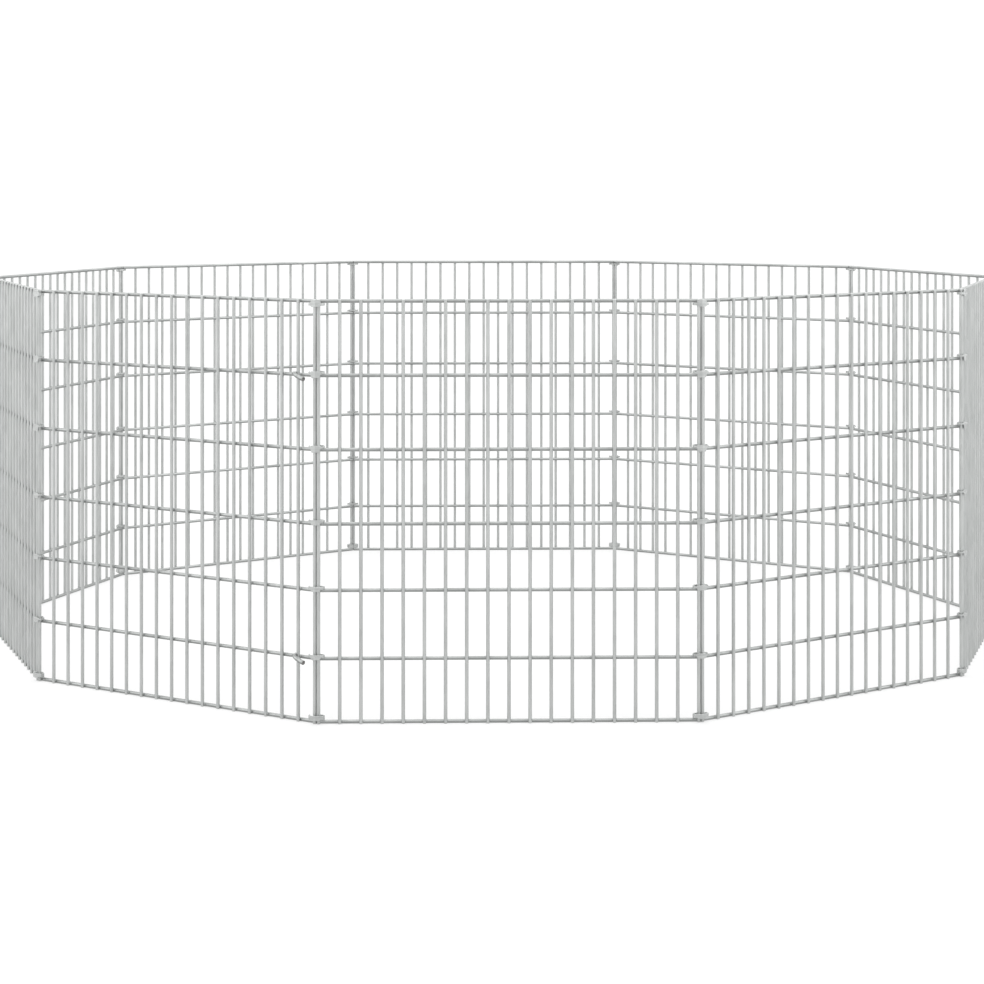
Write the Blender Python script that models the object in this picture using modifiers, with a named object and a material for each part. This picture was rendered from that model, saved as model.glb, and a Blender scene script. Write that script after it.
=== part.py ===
# Folding wire pen: ten welded wire panels in a ring, joined at the posts by loose steel clips.
# Metres, +Z up. Origin on the ground at the pen's centre, the front panel towards -Y.
# A panel's own frame has x along the panel, y towards the inside of the pen and z up.

import math

import bmesh
import bpy
from mathutils import Matrix, Vector

mm = 0.001

# the ring
panel_count = 10
door_number = panel_count                 # the last panel is the door, hinged on the one before it
half_turn = math.pi / panel_count         # half the angle between neighbouring panels

# one panel
panel_height = 600 * mm
upright_count = 19
upright_pitch = 29.9 * mm
upright_diameter = 4.8 * mm
rail_diameter = 5.2 * mm
middle_rail_heights = [91.8 * mm, 188.2 * mm, 282.1 * mm, 387.1 * mm, 492.1 * mm]
weld_sink = 0.4 * mm                      # how far a rail is pressed into the uprights
upright_end_gap = 0.3 * mm                # the uprights stop this far inside the outer rails' edges
rail_overhang = 0.4 * mm                  # the rails run this far past the end wires' centres
post_spacing = 5.6 * mm                   # between the centres of two panels' end wires
upright_sides = 6

# folding
fold_clearance = 0.2 * mm                 # each panel's rails stop this far short of the fold plane
outward_pivot_offset = 4.5 * mm           # from the uprights' plane to the pivot of an outward fold
inward_clip_shift = 0.4 * mm              # how far a clip is off centre on a folded post
outward_clip_shift = 1.8 * mm

# the hinge clips, bent from steel strip
clip_wall = 0.9 * mm
clip_clearance = 0.15 * mm
clip_wire_travel = 7.8 * mm               # how far an end wire moves from the clip's middle
clip_side_travel = 0.9 * mm               # how far it moves across the clip
clip_crown = 2.2 * mm                     # how much deeper the clip is at its middle than beside it
clip_shoulder_inset = 1.9 * mm
clip_end_half_width = 2.3 * mm
clip_band_height = 3.4 * mm
clip_end_height = 2.0 * mm                # the band's height where it turns round the wires
clip_ridge_half = 5.4 * mm                # the band has its full height this far from its middle
upper_tab_drop = 6.4 * mm
lower_tab_drop = 4.0 * mm
top_tab_drop = 2.8 * mm                   # the top clips hang below their rail, with a shorter tab
wide_tab_inset = 0.4 * mm                 # the wide tab starts this far inside the clip's shoulder
wide_tab_bottom_half = 5.6 * mm           # and hangs over the rails' ends
narrow_tab_top_half = 4.9 * mm            # on posts that fold outward it goes between the rails
narrow_tab_bottom_half = 4.1 * mm
foot_clip_height = 7.2 * mm
clip_rail_gap = 0.3 * mm
closing_clip_lip = 0.6 * mm               # where the closing clips' inner wall ends, past the middle

# the latches: a rod whose flattened tail is rolled round one of the door's rails
latch_on_rail = ["", "latch_lower", "", "", "", "latch_upper", ""]   # from the ground up
latch_bay = upright_count - 2.22          # where the collar sits, counted in upright pitches
latch_clearance = 0.35 * mm               # between the collar and the rail's corners
latch_collar_wall = 1.1 * mm
latch_collar_width = 5.6 * mm
latch_collar_sides = 12
latch_diameter = 6.4 * mm
latch_reach = 26.0 * mm                   # along the rail, from the collar's middle to the rod's end
latch_stand_off = 17.0 * mm               # from the rail's centre to the rod's end
latch_rise = 1.2 * mm                     # of the root above the rail's centre
latch_drop = 4.8 * mm                     # of the end below it
latch_root_pull = (0.06, 0.75, 0.9)       # how strongly the rod's curve leaves its root and arrives
latch_end_pull = (0.5, 0.1, -0.5)         # at its end, in shares of the reach, stand-off and drop
latch_steps = 10
latch_bore_run = 3                        # collar widths that the tool for the bore is long
merge_distance = 0.01 * mm                # points closer than this become one

# the clips that are modelled on each post, one name for each rail from the ground up
clip_on_rail = ["foot", "", "lower", "", "upper", "", "top"]

# sizes that follow
upright_radius = upright_diameter / 2
rail_radius = rail_diameter / 2
hexagon = 1 / math.cos(math.pi / 6)       # corner radius of a hexagon over its flat radius
half_span = (upright_count - 1) * upright_pitch / 2
panel_side = 2 * half_span + post_spacing / math.cos(half_turn)
apothem = panel_side / 2 / math.tan(half_turn)
end_wire_corner = upright_radius * hexagon
outer_rail_corner = rail_radius * hexagon
rail_inner_face = upright_radius + rail_diameter - weld_sink
outer_rail_depth = rail_inner_face - outer_rail_corner
middle_rail_flat = (rail_inner_face - upright_radius) / 2
middle_rail_depth = (rail_inner_face + upright_radius) / 2
middle_rail_corner = middle_rail_flat * hexagon
rail_heights = [rail_radius] + middle_rail_heights + [panel_height - rail_radius]
inward_pivot_offset = rail_inner_face + fold_clearance
clip_half_length = clip_wire_travel + end_wire_corner + clip_clearance
clip_half_depth = clip_side_travel + end_wire_corner + clip_clearance
clip_shoulder = clip_half_length - clip_shoulder_inset
wide_tab_top_half = clip_shoulder - wide_tab_inset
latch_radius = latch_diameter / 2
latch_bore = middle_rail_corner + latch_clearance
latch_collar_radius = latch_bore + latch_collar_wall


def clear_scene():
    for item in list(bpy.data.objects):
        bpy.data.objects.remove(item, do_unlink=True)


def make_collection(name):
    group = bpy.data.collections.new(name)
    bpy.context.scene.collection.children.link(group)
    return group


def steel(name, colour, roughness):
    material = bpy.data.materials.new(name)
    material.use_nodes = True
    shader = material.node_tree.nodes["Principled BSDF"]
    shader.inputs["Base Color"].default_value = (*colour, 1)
    shader.inputs["Metallic"].default_value = 1.0
    shader.inputs["Roughness"].default_value = roughness
    return material


def mesh_object(name, mesh, group, material=None):
    item = bpy.data.objects.new(name, mesh)
    group.objects.link(item)
    if material and not mesh.materials:
        mesh.materials.append(material)
    return item


def evaluated_mesh(item, name):
    bpy.context.view_layer.update()
    depsgraph = bpy.context.evaluated_depsgraph_get()
    mesh = bpy.data.meshes.new_from_object(item.evaluated_get(depsgraph))
    mesh.name = name
    return mesh


def rod(bm, radius, length, matrix, sides=upright_sides):
    bmesh.ops.create_cone(
        bm,
        cap_ends=True,
        segments=sides,
        radius1=radius,
        radius2=radius,
        depth=length,
        matrix=matrix,
    )


def uprights_mesh():
    # the end wires turn a corner to the rails and are welded to all of them,
    # the ones between turn a flat to the rails and are welded to the outer rails
    bm = bmesh.new()
    length = panel_height - 2 * upright_end_gap
    for number in range(upright_count):
        place = Matrix.Translation((number * upright_pitch - half_span, 0, panel_height / 2))
        if number in (0, upright_count - 1):
            rod(bm, end_wire_corner, length, place)
        else:
            rod(bm, upright_radius, length, place @ Matrix.Rotation(math.pi / 6, 4, "Z"))
    mesh = bpy.data.meshes.new("uprights")
    bm.to_mesh(mesh)
    bm.free()
    return mesh


def rails_mesh():
    bm = bmesh.new()
    length = 2 * (half_span + rail_overhang)
    lying = Matrix.Rotation(math.pi / 2, 4, "Y")
    for number, height in enumerate(rail_heights):
        if number in (0, len(rail_heights) - 1):
            place = Matrix.Translation((0, outer_rail_depth, height))
            rod(bm, outer_rail_corner, length, place @ lying)
        else:
            place = Matrix.Translation((0, middle_rail_depth, height))
            rod(bm, middle_rail_corner, length, place @ lying @ Matrix.Rotation(math.pi / 6, 4, "Z"))
    mesh = bpy.data.meshes.new("rails")
    bm.to_mesh(mesh)
    bm.free()
    return mesh


def panel_mesh(tools):
    uprights = mesh_object("uprights_tool", uprights_mesh(), tools)
    rails = mesh_object("rails_tool", rails_mesh(), tools)
    weld = uprights.modifiers.new("weld", "BOOLEAN")
    weld.operation = "UNION"
    weld.solver = "EXACT"
    weld.object = rails
    mesh = evaluated_mesh(uprights, "wire_panel")
    for item in (uprights, rails):
        bpy.data.objects.remove(item, do_unlink=True)
    return mesh


def clip_outline(tab_top_half, tab_bottom_half):
    # the clip's inner face seen from above, anticlockwise from the outer wall's middle,
    # with points on the outer wall where the tab starts and ends
    slope = clip_crown / clip_shoulder
    crown = clip_half_depth + clip_crown

    def wall_point(x, side):
        return Vector((x, side * (crown - slope * abs(x))))

    outer_stops = sorted([tab_bottom_half, tab_top_half, clip_ridge_half, clip_shoulder])
    right = [wall_point(x, -1) for x in outer_stops]
    right += [Vector((clip_half_length, -clip_end_half_width))]
    right += [Vector((clip_half_length, clip_end_half_width))]
    right += [wall_point(clip_shoulder, 1), wall_point(clip_ridge_half, 1)]
    left = [Vector((-point.x, point.y)) for point in reversed(right)]
    return [wall_point(0, -1)] + right + [wall_point(0, 1)] + left


def strip_mesh(name, points, closed, height, end_height, tab, drop):
    # a standing strip along the points: its top edge comes down towards the ends,
    # and its lower edge drops to the tab's foot at the outer wall's middle
    tab_top_half, tab_bottom_half = tab
    bm = bmesh.new()
    pairs = []
    for point in points:
        beside_tab = max(0.0, abs(point.x) - tab_bottom_half) / (tab_top_half - tab_bottom_half)
        bottom = -drop * (1 - min(1.0, beside_tab)) if point.y < 0 else 0.0
        beside_ridge = max(0.0, abs(point.x) - clip_ridge_half) / (clip_shoulder - clip_ridge_half)
        top = height - (height - end_height) * min(1.0, beside_ridge)
        pairs.append((bm.verts.new((*point, bottom)), bm.verts.new((*point, top))))
    following = pairs[1:] + pairs[:1] if closed else pairs[1:]
    for (low, high), (next_low, next_high) in zip(pairs, following):
        bm.faces.new((low, next_low, next_high, high))
    mesh = bpy.data.meshes.new(name)
    bm.to_mesh(mesh)
    bm.free()
    return mesh


def clip_mesh(name, tools, height, end_height, tab, drop, is_open=False):
    points = clip_outline(*tab)
    if is_open:
        # the closing clips have no inner wall in front of the door's end wire
        crown = points.index(max(points, key=lambda point: point.y))
        slope = clip_crown / clip_shoulder
        lip = Vector((closing_clip_lip, clip_half_depth + clip_crown - slope * closing_clip_lip))
        left_end = points.index(Vector((-clip_half_length, clip_end_half_width)))
        points = points[left_end:] + points[:crown] + [lip]
    strip = strip_mesh(name, points, not is_open, height, end_height, tab, drop)
    item = mesh_object(name, strip, tools)
    wall = item.modifiers.new("wall", "SOLIDIFY")
    wall.thickness = clip_wall
    wall.offset = 1
    wall.use_even_offset = True
    mesh = evaluated_mesh(item, name)
    bpy.data.objects.remove(item, do_unlink=True)
    return mesh


def clip_set(name, tools, tab, is_open=False):
    # the clips of one post: a plain band at the foot, tabbed ones on the other rails
    tall, band, ends = foot_clip_height, clip_band_height, clip_end_height
    shapes = {
        "foot": (tall, tall, 0.0),
        "lower": (band, ends, lower_tab_drop),
        "upper": (band, ends, upper_tab_drop),
        "top": (band, band, top_tab_drop),
    }
    meshes = {}
    for level_name, (height, end_height, drop) in shapes.items():
        mesh_name = f"{name}_{level_name}_clip"
        meshes[level_name] = clip_mesh(mesh_name, tools, height, end_height, tab, drop, is_open)
    return meshes


def latch_path():
    # the rod leaves the collar outwards, passes in front of an upright and comes down to its end.
    # x runs along the rail from the collar's middle, the rail's centre is the origin
    root = Vector((0, -latch_bore, latch_rise))
    end = Vector((latch_reach, -latch_stand_off, -latch_drop))
    span = Vector((latch_reach, -latch_stand_off, latch_drop))
    leaving = root + span * Vector(latch_root_pull)
    arriving = end - span * Vector(latch_end_pull)
    handles = [root, leaving, arriving, end]
    points = []
    for step in range(latch_steps + 1):
        t = step / latch_steps
        weights = [(1 - t) ** 3, 3 * t * (1 - t) ** 2, 3 * t * t * (1 - t), t ** 3]
        points.append(sum((w * handle for w, handle in zip(weights, handles)), Vector()))
    return points


def latch_rod_mesh(tools):
    curve = bpy.data.curves.new("latch_rod", "CURVE")
    curve.dimensions = "3D"
    curve.bevel_depth = latch_radius
    curve.bevel_resolution = 2
    curve.use_fill_caps = True
    spline = curve.splines.new("POLY")
    points = latch_path()
    spline.points.add(len(points) - 1)
    for target, point in zip(spline.points, points):
        target.co = (*point, 1)
    item = bpy.data.objects.new("latch_rod_tool", curve)
    tools.objects.link(item)
    mesh = evaluated_mesh(item, "latch_rod")
    bm = bmesh.new()
    bm.from_mesh(mesh)
    bmesh.ops.remove_doubles(bm, verts=bm.verts, dist=merge_distance)
    bm.to_mesh(mesh)
    bm.free()
    bpy.data.objects.remove(item, do_unlink=True)
    return mesh


def lying_rod_mesh(name, flat_radius, length, sides):
    bm = bmesh.new()
    corner = flat_radius / math.cos(math.pi / sides)
    rod(bm, corner, length, Matrix.Rotation(math.pi / 2, 4, "Y"), sides)
    mesh = bpy.data.meshes.new(name)
    bm.to_mesh(mesh)
    bm.free()
    return mesh


def latch_mesh(tools):
    # a collar round the rail, with the rod forged to its front
    sides, width = latch_collar_sides, latch_collar_width
    collar = mesh_object("collar_tool", lying_rod_mesh("collar", latch_collar_radius, width, sides), tools)
    bore = mesh_object("bore_tool", lying_rod_mesh("bore", latch_bore, latch_bore_run * width, sides), tools)
    arm = mesh_object("arm_tool", latch_rod_mesh(tools), tools)
    for operation, tool in (("UNION", arm), ("DIFFERENCE", bore)):
        cut = collar.modifiers.new(operation.lower(), "BOOLEAN")
        cut.operation = operation
        cut.solver = "EXACT"
        cut.object = tool
    mesh = evaluated_mesh(collar, "latch")
    for item in (collar, bore, arm):
        bpy.data.objects.remove(item, do_unlink=True)
    return mesh


def panel_matrix(number):
    turn = Matrix.Rotation(2 * half_turn * (number - 1), 4, "Z")
    return turn @ Matrix.Translation((0, -apothem, 0))


def turned(vector, angle):
    return Matrix.Rotation(angle, 2) @ vector


def folds_inward(post):
    # the door folds inward, and the fold changes side from each post to the next
    return (door_number - 1 - post) % 2 == 0


def fold_geometry(post):
    # in the frame of the panel before the post: the end wire, and the fold's pivot
    end_wire = Vector((half_span, 0))
    half_gap = post_spacing / 2
    side = 1 if folds_inward(post) else -1
    offset = inward_pivot_offset if side == 1 else outward_pivot_offset
    ahead = (half_gap - side * offset * math.sin(half_turn)) / math.cos(half_turn)
    return end_wire, end_wire + Vector((ahead, side * offset)), side


def clip_pivot(post):
    # the one point about which the clip can turn at half the fold's rate
    # and lie along both end wires when the pen stands and when it is folded flat
    end_wire, pivot, side = fold_geometry(post)
    arm = end_wire - pivot
    mirrored = Vector((-arm.x, arm.y))

    def middle(exterior):
        return pivot + (arm + turned(mirrored, exterior)) / 2

    standing = 2 * half_turn
    flat = side * math.pi
    shift = inward_clip_shift if side == 1 else outward_clip_shift
    start = middle(standing)
    finish = middle(flat) + turned(Vector((shift, 0)), flat / 2)
    swing = (flat - standing) / 2
    across = finish - start
    return (start + finish) / 2 + Vector((-across.y, across.x)) / (2 * math.tan(swing / 2)), start


def flat_point(point):
    return Matrix.Translation((point.x, point.y, 0))


def make_axis(name, world, carrier, group):
    axis = bpy.data.objects.new(name, None)
    axis.empty_display_type = "SINGLE_ARROW"
    axis.empty_display_size = 0.1
    group.objects.link(axis)
    attach(axis, carrier, world)
    return axis


def attach(item, carrier, world):
    # item hangs on carrier, if there is one, and stands at the world matrix
    item["stand"] = [value for row in world for value in row]
    if carrier:
        item.parent = carrier
        item.matrix_local = stand_of(carrier).inverted() @ world
    else:
        item.matrix_local = world


def stand_of(item):
    values = list(item["stand"])
    return Matrix([values[start:start + 4] for start in range(0, 16, 4)])


def clip_bottom(level):
    # height of the lower edge of a clip's band: above its rail, but below the top rail
    if level == len(rail_heights) - 1:
        return rail_heights[level] - rail_radius - clip_rail_gap - clip_band_height
    half_height = rail_radius if level == 0 else middle_rail_corner
    return rail_heights[level] + half_height + clip_rail_gap


def add_clips(prefix, carrier, frame, meshes, group, material):
    for level, level_name in enumerate(clip_on_rail):
        if not level_name:
            continue
        clip = mesh_object(f"{prefix}_{level_name}", meshes[level_name], group, material)
        attach(clip, carrier, frame @ Matrix.Translation((0, 0, clip_bottom(level))))


def build():
    clear_scene()
    pen = make_collection("wire_pen")
    tools = make_collection("pen_tools")
    wire = steel("galvanised_wire", (0.62, 0.64, 0.63), 0.42)
    door_wire = steel("galvanised_door_wire", (0.62, 0.64, 0.63), 0.42)
    strip = steel("zinc_plated_strip", (0.66, 0.67, 0.67), 0.36)
    catch = steel("zinc_plated_catch", (0.55, 0.56, 0.56), 0.38)

    panel = panel_mesh(tools)
    door = panel.copy()
    latch = latch_mesh(tools)
    wide_tab = (wide_tab_top_half, wide_tab_bottom_half)
    narrow_tab = (narrow_tab_top_half, narrow_tab_bottom_half)
    inward = clip_set("inward", tools, wide_tab)
    outward = clip_set("outward", tools, narrow_tab)
    closing = clip_set("closing", tools, wide_tab, is_open=True)

    carriers = {1: None}
    for number in range(1, panel_count + 1):
        world = panel_matrix(number)
        is_door = number == door_number
        name = "door_panel" if is_door else f"panel_{number}"
        item = mesh_object(name, door if is_door else panel, pen, door_wire if is_door else wire)
        attach(item, carriers[number], world)
        pivot_of_clip, middle = clip_pivot(number)
        frame = world @ flat_point(middle) @ Matrix.Rotation(half_turn, 4, "Z")
        if number < panel_count:
            pivot = fold_geometry(number)[1]
            hinge = make_axis(f"hinge_{number}_axis", world @ flat_point(pivot), carriers[number], pen)
            carriers[number + 1] = hinge
            turner = world @ flat_point(pivot_of_clip)
            clip_axis = make_axis(f"clips_{number}_axis", turner, carriers[number], pen)
            loose = inward if folds_inward(number) else outward
            add_clips(f"hinge_clip_{number}", clip_axis, frame, loose, pen, strip)
        else:
            # the last post closes the ring, and its clips stay on the first panel's end wire
            add_clips("closing_clip", carriers[1], frame, closing, pen, strip)

    collar_x = latch_bay * upright_pitch - half_span
    for name, height in zip(latch_on_rail, rail_heights):
        if not name:
            continue
        world = panel_matrix(door_number) @ Matrix.Translation((collar_x, middle_rail_depth, height))
        attach(mesh_object(name, latch, pen, catch), carriers[door_number], world)


build()
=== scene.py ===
# Folding wire animal pen: round galvanised wire, bent strip clips and wire latches
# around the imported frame. Each panel's own frame has x along it, y inward and z up.
import math
import random

import bmesh
import bpy
from mathutils import Matrix, Vector


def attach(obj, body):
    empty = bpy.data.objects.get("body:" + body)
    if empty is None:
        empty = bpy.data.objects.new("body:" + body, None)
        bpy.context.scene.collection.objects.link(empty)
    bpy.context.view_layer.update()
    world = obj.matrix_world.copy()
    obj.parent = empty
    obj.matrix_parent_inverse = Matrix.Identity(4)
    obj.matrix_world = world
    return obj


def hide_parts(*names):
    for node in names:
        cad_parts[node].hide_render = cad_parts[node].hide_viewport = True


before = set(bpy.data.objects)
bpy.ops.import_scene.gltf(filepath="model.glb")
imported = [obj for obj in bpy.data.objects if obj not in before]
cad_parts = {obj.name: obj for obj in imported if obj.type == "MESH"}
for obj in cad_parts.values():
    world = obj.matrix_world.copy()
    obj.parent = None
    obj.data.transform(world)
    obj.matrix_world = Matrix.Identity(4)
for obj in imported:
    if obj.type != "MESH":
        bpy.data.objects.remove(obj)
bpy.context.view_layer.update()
mm = 0.001
print("frame loaded:", len(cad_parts), "nodes")

ring = {
    "panels": 10,
    "uprights": 19,
    "pitch": 29.9 * mm,
    "postSpacing": 5.6 * mm,
    "uprightRadius": 2.6 * mm,
    "uprightInset": 0.3 * mm,       # from the panel's edges to the uprights' ends
    "railRadius": 2.7 * mm,
    "railInnerFace": 7.2 * mm,      # from the uprights' centres
    "railOverhang": 0.4 * mm,       # past the end wires' centres
    "height": 600 * mm,
    "railHeights": [
        2.7 * mm, 91.8 * mm, 188.2 * mm, 282.1 * mm, 387.1 * mm, 492.1 * mm, 597.3 * mm,
    ],
}
halfTurn = math.pi / ring["panels"]
halfSpan = (ring["uprights"] - 1) * ring["pitch"] / 2
apothem = (halfSpan + ring["postSpacing"] / 2 / math.cos(halfTurn)) / math.tan(halfTurn)
railDepth = ring["railInnerFace"] - ring["railRadius"]
door = ring["panels"]


def panelPlace(number):
    return Matrix.Rotation(2 * halfTurn * (number - 1), 4, "Z") @ Matrix.Translation((0, -apothem, 0))


def postPlace(number):
    # the middle between two end wires, with y towards the inside of the pen
    ahead = halfSpan + ring["postSpacing"] / 2 * math.cos(halfTurn)
    side = ring["postSpacing"] / 2 * math.sin(halfTurn)
    return panelPlace(number) @ Matrix.Translation((ahead, side, 0)) @ Matrix.Rotation(halfTurn, 4, "Z")


def panelName(number):
    return "door_panel" if number == door else f"panel_{number}"


# materials
def linear(hexCode):
    # an sRGB colour as the shader's linear one
    parts = [int(hexCode[i:i + 2], 16) / 255 for i in (1, 3, 5)]
    parts = [c / 12.92 if c <= 0.04045 else ((c + 0.055) / 1.055) ** 2.4 for c in parts]
    return (*parts, 1)


def addNode(tree, kind, settings=None, links=None):
    node = tree.nodes.new(kind)
    for name, value in (settings or {}).items():
        if isinstance(name, str) and hasattr(node, name):
            setattr(node, name, value)
        else:
            node.inputs[name].default_value = value
    for name, source in (links or {}).items():
        tree.links.new(source, node.inputs[name])
    return node


def newMaterial(name):
    material = bpy.data.materials.new(name)
    material.use_nodes = True
    return material, material.node_tree, material.node_tree.nodes["Principled BSDF"]


# how the patches and crystals become colour and roughness, and the grain a bump
mottle = {
    "patchDetail": 3.0, "patchRoughness": 0.55,
    "grainDetail": 2.0, "grainRoughness": 0.6,
    "grainDepth": 0.4,              # in grain sizes
    "dullAt": 0.32, "baseAt": 0.62, "brightAt": 0.95,
    "roughAt": 0.3, "smoothAt": 0.9,
}


def mottledMetal(name, look):
    # large patches, crystals and fine grain mixed into colour, roughness and a shallow bump
    material, tree, shader = newMaterial(name)
    place = addNode(tree, "ShaderNodeTexCoord")
    stretch = addNode(tree, "ShaderNodeMapping", {"Scale": look["stretch"]},
                      {"Vector": place.outputs["Object"]})
    where = stretch.outputs["Vector"]
    patches = addNode(tree, "ShaderNodeTexNoise",
                      {"Scale": 1 / look["patchSize"], "Detail": mottle["patchDetail"],
                       "Roughness": mottle["patchRoughness"]},
                      {"Vector": where})
    crystals = addNode(tree, "ShaderNodeTexVoronoi",
                       {"Scale": 1 / look["crystalSize"], "Randomness": 1.0}, {"Vector": where})
    grain = addNode(tree, "ShaderNodeTexNoise",
                    {"Scale": 1 / look["grainSize"], "Detail": mottle["grainDetail"],
                     "Roughness": mottle["grainRoughness"]},
                    {"Vector": where})
    facets = addNode(tree, "ShaderNodeSeparateColor", {}, {"Color": crystals.outputs["Color"]})
    blend = addNode(tree, "ShaderNodeMath", {"operation": "MULTIPLY_ADD", 1: look["spangle"]},
                    {0: facets.outputs["Red"], 2: patches.outputs["Fac"]})
    tone = addNode(tree, "ShaderNodeValToRGB", {}, {"Fac": blend.outputs[0]})
    ramp = tone.color_ramp
    ramp.elements[0].position = mottle["dullAt"]
    ramp.elements[0].color = linear(look["dull"])
    ramp.elements[1].position = mottle["brightAt"]
    ramp.elements[1].color = linear(look["bright"])
    middle = ramp.elements.new(mottle["baseAt"])
    middle.color = linear(look["base"])
    smoothest, roughest = look["roughness"]
    finish = addNode(tree, "ShaderNodeMapRange",
                     {"From Min": mottle["roughAt"], "From Max": mottle["smoothAt"],
                      "To Min": roughest, "To Max": smoothest},
                     {"Value": blend.outputs[0]})
    relief = addNode(tree, "ShaderNodeBump",
                     {"Strength": look["bump"], "Distance": look["grainSize"] * mottle["grainDepth"]},
                     {"Height": grain.outputs["Fac"]})
    tree.links.new(tone.outputs["Color"], shader.inputs["Base Color"])
    tree.links.new(finish.outputs["Result"], shader.inputs["Roughness"])
    tree.links.new(relief.outputs["Normal"], shader.inputs["Normal"])
    shader.inputs["Metallic"].default_value = look["metallic"]
    return material


# hot-dip galvanised low-carbon steel wire: a soft pale grey with cloudy zinc patches,
# never mirror-like. The patches are drawn out along each wire. The crystals of thin zinc are
# under 2 mm and hardly show, so they are drawn 6 mm wide and faint
galvanised = {
    "base": "#949695", "bright": "#a0a2a1", "dull": "#898b8a",
    "roughness": (0.36, 0.5), "metallic": 0.92, "bump": 0.2,
    "patchSize": 22 * mm, "crystalSize": 6 * mm, "grainSize": 1.2 * mm, "spangle": 0.2,
}
# the uprights are the same wire as the rails but painted lighter: a painted highlight standing in for
# the extra light that the standing wires catch
paintedLightUprightZinc = mottledMetal("galvanised wire, upright", {
    **galvanised, "base": "#adafae", "bright": "#b8bab9", "dull": "#a2a4a3", "stretch": (1, 1, 0.3),
})
railZinc = mottledMetal("galvanised wire, rail", {**galvanised, "stretch": (0.3, 1, 1)})

# zinc pooled round the welds in the dip: duller and rougher than the drawn wire
weldZinc = mottledMetal("zinc at the welds", {
    **galvanised, "base": "#999b9a", "bright": "#a5a7a6", "dull": "#8c8e8d",
    "roughness": (0.45, 0.6), "bump": 0.4, "patchSize": 6 * mm, "crystalSize": 3 * mm,
    "grainSize": 0.7 * mm, "stretch": (1, 1, 1),
})

# rolled steel strip with a thin bright zinc plating: even, slightly satin, with faint roll lines
platedStrip = {
    "base": "#a9abaa", "bright": "#b5b7b6", "dull": "#9ea09f",
    "roughness": (0.36, 0.48), "metallic": 0.92, "bump": 0.2,
    "patchSize": 14 * mm, "crystalSize": 5 * mm, "grainSize": 0.5 * mm, "stretch": (0.4, 0.4, 3),
    "spangle": 0.3,
}
stripZinc = mottledMetal("zinc plated strip", platedStrip)

# the strip's inner face is painted whiter than the outside: painted light that lifts the shade falling
# inside the band
paintedLightInnerZinc = mottledMetal("zinc plated strip, inside", {
    **platedStrip, "base": "#d3d5d4", "bright": "#dddfde", "dull": "#c8cac9",
    "roughness": (0.45, 0.6), "metallic": 0.9,
})

# zinc plated bent rod with sheared ends: the cut faces are bare steel, and their dark tone is partly
# painted shade, as of an end face seen in shadow
catchZinc = mottledMetal("zinc plated catch", {
    "base": "#8b8d8c", "bright": "#979998", "dull": "#7f8180",
    "roughness": (0.34, 0.48), "metallic": 0.92, "bump": 0.25,
    "patchSize": 9 * mm, "crystalSize": 4 * mm, "grainSize": 0.6 * mm, "stretch": (1, 1, 1),
    "spangle": 0.3,
})
cutSteelPaintedShade = mottledMetal("sheared steel", {
    "base": "#6f6e6d", "bright": "#858382", "dull": "#5a5958",
    "roughness": (0.5, 0.75), "metallic": 0.8, "bump": 0.5,
    "patchSize": 2 * mm, "crystalSize": 1 * mm, "grainSize": 0.3 * mm, "stretch": (1, 1, 1),
    "spangle": 0.35,
})
print("materials made")


# shapes
def meshFrom(name, build, materials, sharpAngle=35):
    bm = bmesh.new()
    build(bm)
    bmesh.ops.recalc_face_normals(bm, faces=bm.faces)
    mesh = bpy.data.meshes.new(name)
    bm.to_mesh(mesh)
    bm.free()
    for material in materials:
        mesh.materials.append(material)
    mesh.polygons.foreach_set("use_smooth", [True] * len(mesh.polygons))
    mesh.set_sharp_from_angle(angle=math.radians(sharpAngle))
    return mesh


def addPiece(name, mesh, place, body, nodes=()):
    piece = bpy.data.objects.new(name, mesh)
    bpy.context.scene.collection.objects.link(piece)
    piece.matrix_world = place
    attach(piece, body)
    if nodes:
        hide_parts(*nodes)


def loft(bm, rows, caps=True, materialIndex=0):
    # joins equal rings of points to one skin
    rings = [[bm.verts.new(point) for point in row] for row in rows]
    for low, high in zip(rings, rings[1:]):
        for i in range(len(low)):
            j = (i + 1) % len(low)
            bm.faces.new((low[i], low[j], high[j], high[i])).material_index = materialIndex
    if caps:
        bm.faces.new(list(reversed(rings[0]))).material_index = materialIndex
        bm.faces.new(rings[-1]).material_index = materialIndex


def turnsOf(sides):
    return [2 * math.pi * i / sides for i in range(sides)]


def directionAt(path, i):
    return (path[min(i + 1, len(path) - 1)] - path[max(i - 1, 0)]).normalized()


def clamped(share):
    return min(1.0, max(0.0, share))


def eased(share):
    share = clamped(share)
    return share * share * (3 - 2 * share)


def bevelledSection(half, low, high, edge):
    # the section of a strip, as wide as two halves, with its four edges broken
    return [
        (half, low + edge), (half, high - edge), (half - edge, high), (edge - half, high),
        (-half, high - edge), (-half, low + edge), (edge - half, low), (half - edge, low),
    ]


# the side of that section between its fifth and sixth corners
innerSide = 4


# panels
wire = {"sides": 16, "chamfer": 0.45 * mm}


def straightWire(bm, start, end, radius):
    # a round bar with slightly broken edges at its cut ends
    along = (end - start).normalized()
    across = along.orthogonal().normalized()
    other = along.cross(across)
    length = (end - start).length
    chamfer = wire["chamfer"]
    stops = [
        (0, radius - chamfer), (chamfer, radius),
        (length - chamfer, radius), (length, radius - chamfer),
    ]
    spokes = [across * math.cos(a) + other * math.sin(a) for a in turnsOf(wire["sides"])]
    rows = []
    for distance, size in stops:
        centre = start + along * distance
        rows.append([centre + spoke * size for spoke in spokes])
    loft(bm, rows)


def uprightX(number):
    return number * ring["pitch"] - halfSpan


def buildUprights(bm):
    low = ring["uprightInset"]
    high = ring["height"] - ring["uprightInset"]
    for number in range(ring["uprights"]):
        x = uprightX(number)
        straightWire(bm, Vector((x, 0, low)), Vector((x, 0, high)), ring["uprightRadius"])


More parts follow.
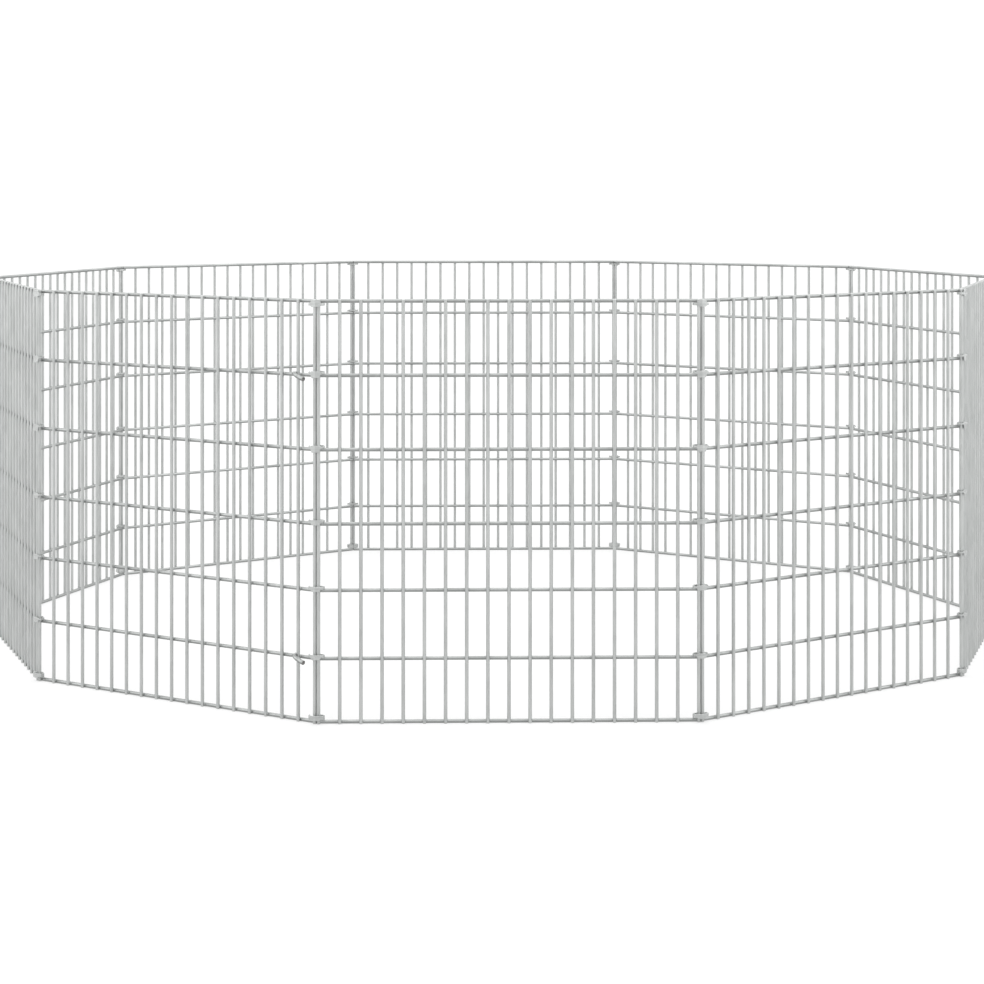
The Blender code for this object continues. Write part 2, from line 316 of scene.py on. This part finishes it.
def buildRails(bm):
    reach = halfSpan + ring["railOverhang"]
    for height in ring["railHeights"]:
        ends = [Vector((side * reach, railDepth, height)) for side in (-1, 1)]
        straightWire(bm, *ends, ring["railRadius"])


weld = {
    "length": 3.4 * mm, "height": 3.3 * mm, "depth": 1.5 * mm,      # each half of the drop's
    "sides": 10, "rows": 5,
    "sink": 0.1 * mm,               # into the upright
    "outerCut": 0.7 * mm,           # off the height at the bottom and top rails
    "spread": 0.18,                 # of the sizes, as a share
    "lean": 0.3 * mm,               # to the left or right at most
    "seed": 7,
}


def buildWelds(bm):
    # a flattened drop of zinc in the corner between an upright and a rail
    chance = random.Random(weld["seed"])
    contact = ring["uprightRadius"] - weld["sink"]
    outerRails = (ring["railHeights"][0], ring["railHeights"][-1])
    for height in ring["railHeights"]:
        tall = weld["height"] - (weld["outerCut"] if height in outerRails else 0)
        for number in range(ring["uprights"]):
            size = 1 + chance.uniform(-weld["spread"], weld["spread"])
            x = uprightX(number) + chance.uniform(-weld["lean"], weld["lean"])
            rows = []
            for row in range(1, weld["rows"]):
                tilt = math.pi * row / weld["rows"] - math.pi / 2
                reach = math.cos(tilt)
                rows.append([Vector((
                    x + weld["length"] * size * reach * math.cos(a),
                    contact + weld["depth"] * size * math.sin(tilt),
                    height + tall * min(size, 1.0) * reach * math.sin(a),
                )) for a in turnsOf(weld["sides"])])
            loft(bm, rows)


uprightsMesh = meshFrom("uprights", buildUprights, [paintedLightUprightZinc])
railsMesh = meshFrom("rails", buildRails, [railZinc])
weldsMesh = meshFrom("welds", buildWelds, [weldZinc], sharpAngle=180)
for number in range(1, ring["panels"] + 1):
    name = panelName(number)
    place = panelPlace(number)
    addPiece(f"{name}_uprights", uprightsMesh, place, name, [name])
    addPiece(f"{name}_rails", railsMesh, place, name, [name])
    addPiece(f"{name}_welds", weldsMesh, place, name, [name])
print("panels made")


# clips
clip = {
    "wall": 0.9 * mm,
    "step": 1.0 * mm,            # along the strip
    "bend": 1.3 * mm,            # inner radius of the bends
    "crease": 0.45 * mm,         # and of the crease down the outer wall's middle
    "bendStep": 12,              # in degrees
    "bendShare": 0.45,           # of a straight that one bend takes at most
    "cornerPush": 0.4,           # outwards, of the middle line's corners, in halves of the wall
    "halfLength": 10.55 * mm,    # to the inner faces, as are the next four
    "halfDepth": 3.82 * mm,
    "crown": 2.2 * mm,           # of the walls' middles past their shoulders
    "shoulderInset": 1.9 * mm,   # of the shoulders from the ends
    "endHalfWidth": 2.3 * mm,
    "edge": 0.22 * mm,           # how far the strip's edges are broken
    "bandHeight": 3.4 * mm,
    "bandOver": 3.07 * mm,       # of the band's lower edge over its rail's centre
    "endHeight": 2.0 * mm,       # of the band where it turns round the wires
    "ridgeHalf": 5.4 * mm,       # the band has its full height this far from its middle
    "upperDrop": 6.4 * mm,       # of the tabs
    "lowerDrop": 4.0 * mm,
    "topDrop": 2.0 * mm,
    "topOver": -6.2 * mm,
    "topRise": 5.2 * mm,         # of the top clips' outer wall, in front of their rail
    "footHeight": 7.2 * mm,
    "footOver": 2.8 * mm,
    "footLift": 2.0 * mm,        # of the foot clips' lower edge where they turn round the wires
    "wideTab": (8.4 * mm, 5.6 * mm),      # half widths at the tab's top and bottom
    "narrowTab": (4.9 * mm, 4.1 * mm),
    "seam": 0.25 * mm,
    "lip": 0.6 * mm,             # from the middle to where the closing clips' inner wall ends
    "flareOut": 0.9 * mm,        # of their other end's tip, past the inner faces' length
    "flareBack": 0.6 * mm,       # and past the ends' width
}


def roundedPath(corners):
    # the corners rounded about as by the bend radius, and the straights cut into short steps
    path = [corners[0]]
    for last, corner, following in zip(corners, corners[1:], corners[2:]):
        before = last - corner
        after = following - corner
        opening = before.angle(after)
        bend = clip["crease"] if corner.x == 0 else clip["bend"]
        longest = min(before.length, after.length) * clip["bendShare"]
        cut = min(bend / math.tan(opening / 2), longest)
        arrive = corner + before.normalized() * cut
        leave = corner + after.normalized() * cut
        steps = max(2, round(math.degrees(math.pi - opening) / clip["bendStep"]))
        for k in range(steps + 1):
            t = k / steps
            path.append(arrive * (1 - t) ** 2 + corner * 2 * t * (1 - t) + leave * t ** 2)
    path.append(corners[-1])
    fine = []
    for start, end in zip(path, path[1:]):
        parts = max(1, round((end - start).length / clip["step"]))
        fine += [start.lerp(end, k / parts) for k in range(parts)]
    return fine + path[-1:]


def clipCorners():
    # seen from above, anticlockwise from the outer wall's middle, on the strip's middle line
    half = clip["wall"] / 2
    push = half * clip["cornerPush"]
    length = clip["halfLength"] + half
    depth = clip["halfDepth"] + half
    shoulder = clip["halfLength"] - clip["shoulderInset"] + push
    end = clip["endHalfWidth"] + push
    crown = depth + clip["crown"]
    right = [(shoulder, -depth), (length, -end), (length, end), (shoulder, depth)]
    left = [(-x, y) for x, y in reversed(right)]
    return [Vector(p) for p in [(0, -crown)] + right + [(0, crown)] + left]


# numbers of three of those corners: the inner wall's right shoulder and its middle,
# and the outer wall's left end
innerShoulder, innerCrown, outerLeftEnd = 4, 5, 8


def buildStrip(bm, path, lowerEdge, upperEdge):
    # a standing strip with rounded edges that follows the path
    rows = []
    for i, point in enumerate(path):
        along = directionAt(path, i)
        out = Vector((along.y, -along.x))
        section = bevelledSection(clip["wall"] / 2, lowerEdge(point), upperEdge(point), clip["edge"])
        rows.append([Vector((*(point + out * a), z)) for a, z in section])
    loft(bm, rows)
    sides = len(section)
    # the inner side takes the second material, painted whiter as painted light
    for number, face in enumerate(bm.faces):
        if number % sides == innerSide and number < sides * (len(rows) - 1):
            face.material_index = 1


def tabShare(point, tab):
    # 1 on the tab of the outer wall, 0 beside it
    top, bottom = tab
    return eased((top - abs(point.x)) / (top - bottom)) if point.y < 0 else 0.0


def sideShare(point):
    # 0 over the wires, 1 at the shoulders of the outer wall, and 0 again behind the wires
    shoulder = clip["halfLength"] - clip["shoulderInset"]
    share = clamped((abs(point.x) - clip["ridgeHalf"]) / (shoulder - clip["ridgeHalf"]))
    behind = clamped(0.5 + point.y / clip["endHalfWidth"] / 2)
    return share * (1 - behind)


def ridgeEdge(height, endHeight, tab, rise):
    # the upper edge: level over the wires, coming down to where the band turns round them
    return lambda point: height - (height - endHeight) * sideShare(point) + rise * tabShare(point, tab)


def tabEdge(tab, drop, lift):
    # the lower edge: dropping to the tab on the outer wall, or rising to the bends
    return lambda point: lift * sideShare(point) - drop * tabShare(point, tab)


def clipMesh(name, height, endHeight, tab, drop, rise, isOpen):
    corners = clipCorners()
    middle = corners[innerCrown]
    if isOpen:
        # the inner wall ends past the fixed wire, so that the door's wire can leave
        slope = clip["crown"] / corners[innerShoulder].x
        lip = Vector((clip["lip"], middle.y - slope * clip["lip"]))
        flare = Vector((
            -(clip["halfLength"] + clip["flareOut"]),
            clip["endHalfWidth"] + clip["flareBack"],
        ))
        corners = [flare] + corners[outerLeftEnd:] + corners[:innerCrown] + [lip]
    else:
        # the strip's two ends meet in a butt seam on the inner wall
        gap = Vector((clip["seam"] / 2, 0))
        corners = [middle - gap] + corners[innerCrown + 1:] + corners[:innerCrown] + [middle + gap]
    path = roundedPath(corners)

    def build(bm):
        lift = clip["footLift"] if drop == 0 else 0
        buildStrip(bm, path, tabEdge(tab, drop, lift), ridgeEdge(height, endHeight, tab, rise))

    return meshFrom(name, build, [stripZinc, paintedLightInnerZinc], sharpAngle=40)


def clipSet(name, tab, isOpen=False):
    tall, band, ends = clip["footHeight"], clip["bandHeight"], clip["endHeight"]
    # the closing clips are level along the top on the second to fourth rails
    lowerEnds = band if isOpen else ends
    return {
        "foot": clipMesh(f"{name}_foot", tall, tall, tab, 0, 0, isOpen),
        "lower": clipMesh(f"{name}_lower", band, lowerEnds, tab, clip["lowerDrop"], 0, isOpen),
        "upper": clipMesh(f"{name}_upper", band, ends, tab, clip["upperDrop"], 0, isOpen),
        "top": clipMesh(f"{name}_top", band, band, tab, clip["topDrop"], clip["topRise"], isOpen),
    }


# name, shape and place of each rail's clips, from the ground up. The clips on the second,
# fourth and sixth rails are only here, and the others replace a node
clipRows = [
    ("foot", "foot", "footOver"), ("second", "lower", "bandOver"), ("lower", "lower", "bandOver"),
    ("fourth", "lower", "bandOver"), ("upper", "upper", "bandOver"), ("sixth", "upper", "bandOver"),
    ("top", "top", "topOver"),
]
inwardClips = clipSet("inward_clip", clip["wideTab"])
outwardClips = clipSet("outward_clip", clip["narrowTab"])
closingClips = clipSet("closing_clip", clip["wideTab"], isOpen=True)
for number in range(1, ring["panels"] + 1):
    closing = number == ring["panels"]
    prefix = "closing_clip" if closing else f"hinge_clip_{number}"
    body = "panel_1" if closing else f"hinge_clips_{number}"
    foldsInward = (door - 1 - number) % 2 == 0
    meshes = closingClips if closing else inwardClips if foldsInward else outwardClips
    for (rowName, shape, over), rail in zip(clipRows, ring["railHeights"]):
        node = f"{prefix}_{rowName}"
        nodes = [node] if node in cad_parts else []
        # the place goes into the mesh, so that the zinc differs from clip to clip
        strip = meshes[shape].copy()
        strip.transform(postPlace(number) @ Matrix.Translation((0, 0, rail + clip[over])))
        addPiece(f"{node}_strip", strip, Matrix.Identity(4), body, nodes)
print("clips made")


# latches
latch = {
    "rails": {"latch_lower": 1, "latch_upper": 5},
    "bay": 16.78,                # where the collar sits, in upright pitches from the panel's start
    "depth": 4.8 * mm,           # of the rail's centre behind the uprights' centres
    "bore": 3.12 * mm, "wall": 1.1 * mm, "width": 5.6 * mm, "edge": 0.3 * mm,
    "seam": math.radians(4),     # between the rolled tail's end and its start, at the back
    "radius": 3.2 * mm,
    "neck": 0.78,                # share of the radius next to the collar
    "neckEnd": 0.3,              # shares of the rod's length: where it starts to swell,
    "swellLength": 0.4,          # and how long that takes
    "reach": 26 * mm, "standOff": 17 * mm, "rise": 1.2 * mm, "fall": 4.8 * mm,
    "rootPull": (0.06, 0.75, 0.9), "endPull": (0.5, 0.1, -0.5),
    "sides": 20, "rodSteps": 28, "collarSteps": 36,
    "broken": 0.25 * mm,         # how far the sheared edge is rounded
    "dish": [(0.6, 0.3), (0.1, 1)],       # shares of the radius, and of that rounding
    "mergeDistance": 0.005 * mm,
}


def buildCollar(bm):
    # the rod's flattened tail, rolled once round the rail
    outer = latch["bore"] + latch["wall"]
    section = bevelledSection(latch["width"] / 2, latch["bore"], outer, latch["edge"])
    rows = []
    for step in range(latch["collarSteps"] + 1):
        a = latch["seam"] / 2 + (2 * math.pi - latch["seam"]) * step / latch["collarSteps"]
        rows.append([Vector((x, math.cos(a) * size, math.sin(a) * size)) for x, size in section])
    loft(bm, rows)


def rodPath():
    # outwards from the collar, in front of an upright and down to the end, rail's centre at zero
    span = Vector((latch["reach"], -latch["standOff"], latch["fall"]))
    root = Vector((0, -latch["bore"], latch["rise"]))
    end = Vector((latch["reach"], -latch["standOff"], -latch["fall"]))
    leaving = root + span * Vector(latch["rootPull"])
    arriving = end - span * Vector(latch["endPull"])
    handles = [root, leaving, arriving, end]
    points = []
    for step in range(latch["rodSteps"] + 1):
        t = step / latch["rodSteps"]
        weights = [(1 - t) ** 3, 3 * t * (1 - t) ** 2, 3 * t * t * (1 - t), t ** 3]
        points.append(sum((w * handle for w, handle in zip(weights, handles)), Vector()))
    return points


def buildRod(bm):
    # a swept round rod whose outer end is sheared: a slightly dished face, darkened partly by painted
    # shade, with a broken edge
    path = rodPath()
    across = Vector((1, 0, 0))
    rows = []
    for i, point in enumerate(path):
        along = directionAt(path, i)
        across = (across - along * across.dot(along)).normalized()
        other = along.cross(across)
        turns = turnsOf(latch["sides"])
        rows.append([(point, across * math.cos(a) + other * math.sin(a)) for a in turns])
    radius, broken, endDirection = latch["radius"], latch["broken"], along

    def sized(row, size, shift=0):
        return [point + spoke * size + endDirection * shift for point, spoke in row]

    skin = []
    for i, row in enumerate(rows[:-1]):
        swell = eased((i / latch["rodSteps"] - latch["neckEnd"]) / latch["swellLength"])
        skin.append(sized(row, radius * (latch["neck"] + (1 - latch["neck"]) * swell)))
    skin.append(sized(rows[-1], radius, -broken))
    loft(bm, skin, caps=False)
    bm.faces.new([bm.verts.new(p) for p in reversed(skin[0])])
    face = [(radius, -broken), (radius - broken, 0)]
    face += [(radius * share, -sunk * broken) for share, sunk in latch["dish"]]
    loft(bm, [sized(rows[-1], size, shift) for size, shift in face], caps=False, materialIndex=1)
    bm.faces.new([bm.verts.new(p) for p in sized(rows[-1], *face[-1])]).material_index = 1
    bmesh.ops.remove_doubles(bm, verts=bm.verts, dist=latch["mergeDistance"])


rodMesh = meshFrom("latch_rod", buildRod, [catchZinc, cutSteelPaintedShade])
collarMesh = meshFrom("latch_collar", buildCollar, [catchZinc])
collarX = latch["bay"] * ring["pitch"] - halfSpan
for name, rail in latch["rails"].items():
    height = ring["railHeights"][rail]
    place = panelPlace(door) @ Matrix.Translation((collarX, latch["depth"], height))
    addPiece(f"{name}_rod", rodMesh, place, name, [name])
    addPiece(f"{name}_collar", collarMesh, place, name, [name])
print("latches made")


# floor, light and camera
studio = {
    "floorSize": 40.0, "floorCells": 8, "floorDrop": 0.2 * mm,
    "paper": "#7b7b7b", "paperFibre": "#7e7e7e", "fibreScale": 30.0, "fibreDetail": 2.0,
    "paperRoughness": 0.9, "backlight": 0.63,
    "sky": "#ffffff", "skyStrength": 1.1, "sideGlow": 1.2, "topGlow": 1.25,
    "softboxPlace": (0, 0, 5), "softboxSize": (6, 6), "softboxPower": 20,
    "cameraPlace": (-0.1124, -4.4199, 0.7714),
    "cameraYaw": -1.4125,
    "focalPixels": 2533.75,
    "imageWidth": 984,
    "horizon": 177.87,           # image row of the horizon
    "sensor": 36.0,
}


def buildFloor(bm):
    cells = studio["floorCells"]
    bmesh.ops.create_grid(bm, x_segments=cells, y_segments=cells, size=studio["floorSize"] / 2)


# matt translucent paper lit from behind as well: no gloss, so that only soft shade shows on it
paper, paperTree, paperShader = newMaterial("white paper")
grainOfPaper = addNode(paperTree, "ShaderNodeTexNoise",
                       {"Scale": studio["fibreScale"], "Detail": studio["fibreDetail"]})
paperTone = addNode(paperTree, "ShaderNodeMixRGB",
                    {"Color1": linear(studio["paper"]), "Color2": linear(studio["paperFibre"])},
                    {"Fac": grainOfPaper.outputs["Fac"]})
paperTree.links.new(paperTone.outputs["Color"], paperShader.inputs["Base Color"])
paperShader.inputs["Roughness"].default_value = studio["paperRoughness"]
paperShader.inputs["Specular IOR Level"].default_value = 0.0
paperShader.inputs["Emission Color"].default_value = linear(studio["sky"])
paperShader.inputs["Emission Strength"].default_value = studio["backlight"]

floor = bpy.data.objects.new("floor", meshFrom("floor", buildFloor, [paper]))
floor.location.z = -studio["floorDrop"]
bpy.context.scene.collection.objects.link(floor)

world = bpy.data.worlds.new("studio")
bpy.context.scene.world = world
world.use_nodes = True
background = world.node_tree.nodes["Background"]
background.inputs["Color"].default_value = linear(studio["sky"])
# broad glows at the left and right, which the standing wires pick up and the rails don't, and a
# brighter ceiling. Near the horizon the light is even, so that a wire has one tone along its height
skyPlace = addNode(world.node_tree, "ShaderNodeTexCoord")
skyAxes = addNode(world.node_tree, "ShaderNodeSeparateXYZ", {}, {0: skyPlace.outputs["Generated"]})
sideways = addNode(world.node_tree, "ShaderNodeMath", {"operation": "MULTIPLY"},
                   {0: skyAxes.outputs["X"], 1: skyAxes.outputs["X"]})
glow = addNode(world.node_tree, "ShaderNodeMath",
               {"operation": "MULTIPLY_ADD", 1: studio["sideGlow"], 2: studio["skyStrength"]},
               {0: sideways.outputs[0]})
ceiling = addNode(world.node_tree, "ShaderNodeMath",
                  {"operation": "MULTIPLY_ADD", 1: studio["topGlow"]},
                  {0: skyAxes.outputs["Z"], 2: glow.outputs[0]})
world.node_tree.links.new(ceiling.outputs[0], background.inputs["Strength"])

softbox = bpy.data.lights.new("topSoftbox", "AREA")
softbox.shape = "RECTANGLE"
softbox.size, softbox.size_y = studio["softboxSize"]
softbox.energy = studio["softboxPower"]
lamp = bpy.data.objects.new("topSoftbox", softbox)
lamp.location = studio["softboxPlace"]
bpy.context.scene.collection.objects.link(lamp)

camera = bpy.data.objects.new("camera", bpy.data.cameras.new("camera"))
bpy.context.scene.collection.objects.link(camera)
camera.location = studio["cameraPlace"]
camera.rotation_euler = (math.pi / 2, 0, math.radians(studio["cameraYaw"]))
camera.data.sensor_width = studio["sensor"]
camera.data.lens = studio["focalPixels"] * studio["sensor"] / studio["imageWidth"]
camera.data.shift_y = -(studio["imageWidth"] / 2 - studio["horizon"]) / studio["imageWidth"]
camera.data.dof.use_dof = False
bpy.context.scene.camera = camera
bpy.context.scene.view_settings.view_transform = "Standard"
print("studio made")
